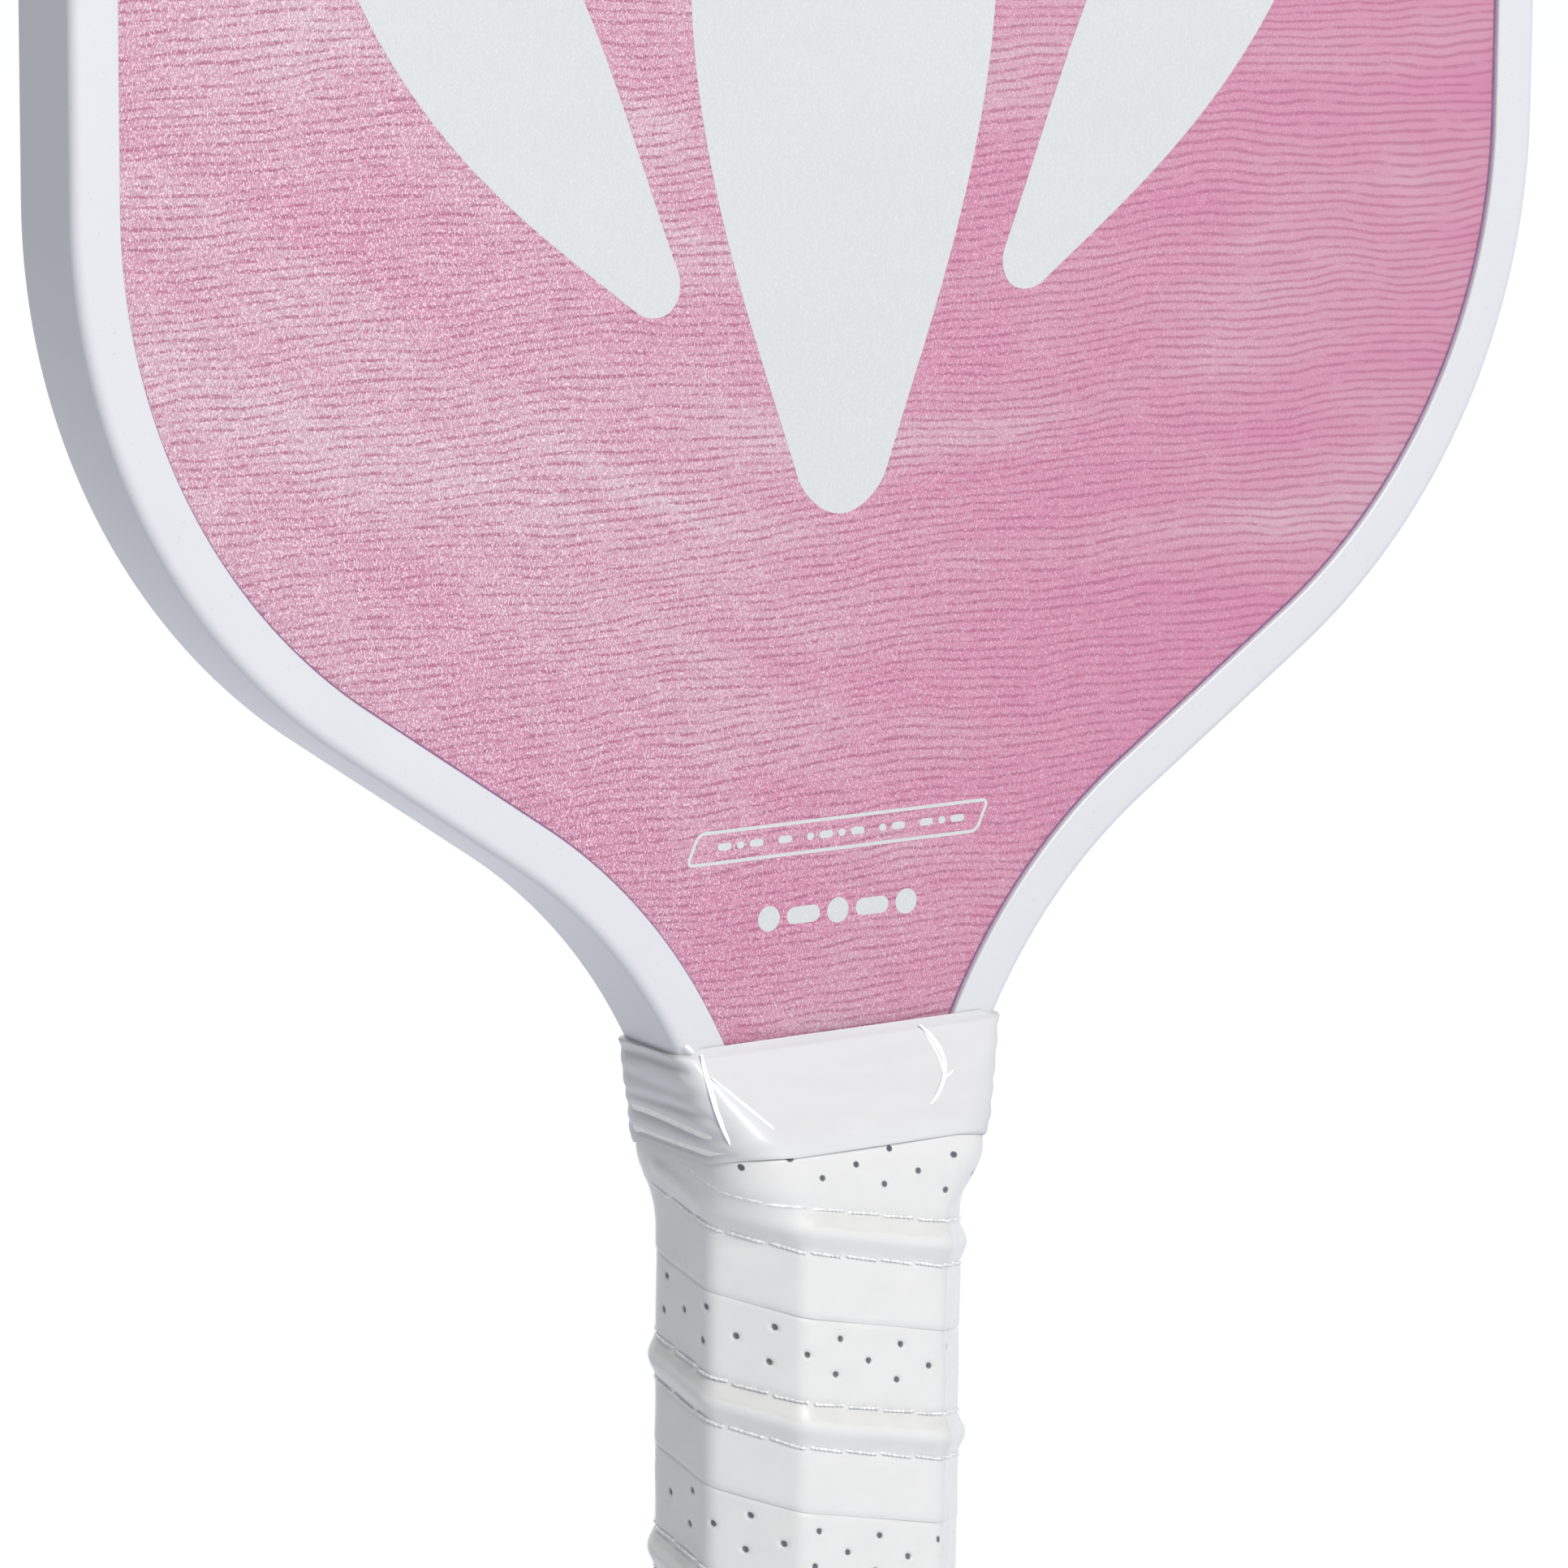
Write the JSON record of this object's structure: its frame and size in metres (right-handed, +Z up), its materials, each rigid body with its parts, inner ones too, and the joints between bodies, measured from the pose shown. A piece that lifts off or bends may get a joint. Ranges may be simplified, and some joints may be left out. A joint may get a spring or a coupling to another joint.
{
  "type": "pickleball paddle",
  "caption": "Flat-faced paddle with a rounded rectangular head, moulded edge guard, short octagonal handle, spiral ribbed grip, rubber collar and clear film sleeve.",
  "frame": {"origin": "centre of the butt's flat end, on the middle plane of the panel", "axes": "+Z up the handle to the top of the head, +Y out of the back face, +X to the right when looking at the front face"},
  "size_m": [0.2, 0.0318, 0.4],
  "materials": {
    "core": "extruded polypropylene cells",
    "adhesive": "cured adhesive",
    "fibreglass": "resin-bonded glass cloth",
    "print": "pink streaked print under a fine textured clear coat",
    "guard": "satin moulded polyurethane",
    "tape": "bonding tape",
    "block": "rigid foam",
    "cap": "moulded plastic",
    "inlay": "soft rubber",
    "felt": "non-woven felt",
    "cord": "soft cord",
    "grip_skin": "perforated synthetic leather",
    "thread": "polyester thread",
    "collar_rubber": "ribbed soft rubber",
    "film": "clear shrink film"
  },
  "bodies": {
    "root": {"honeycomb_core": "core", "core_adhesive_front": "adhesive", "core_adhesive_back": "adhesive", "face_sheet_front": "fibreglass", "face_sheet_back": "fibreglass", "print_layer_front": "print", "print_layer_back": "print", "edge_guard": "guard", "edge_bond_tape": "tape", "handle_glue_front": "adhesive", "handle_glue_back": "adhesive", "handle_block_front": "block", "handle_block_back": "block", "butt_cap": "cap", "butt_inlay": "inlay", "grip_adhesive_strip": "adhesive", "grip_felt_strip": "felt", "grip_rib_cord": "cord", "grip_skin_strip": "grip_skin", "grip_stitch_upper": "thread", "grip_stitch_lower": "thread", "finishing_tape": "tape", "collar": "collar_rubber", "film_sleeve": "film"}
  },
  "joints": []
}
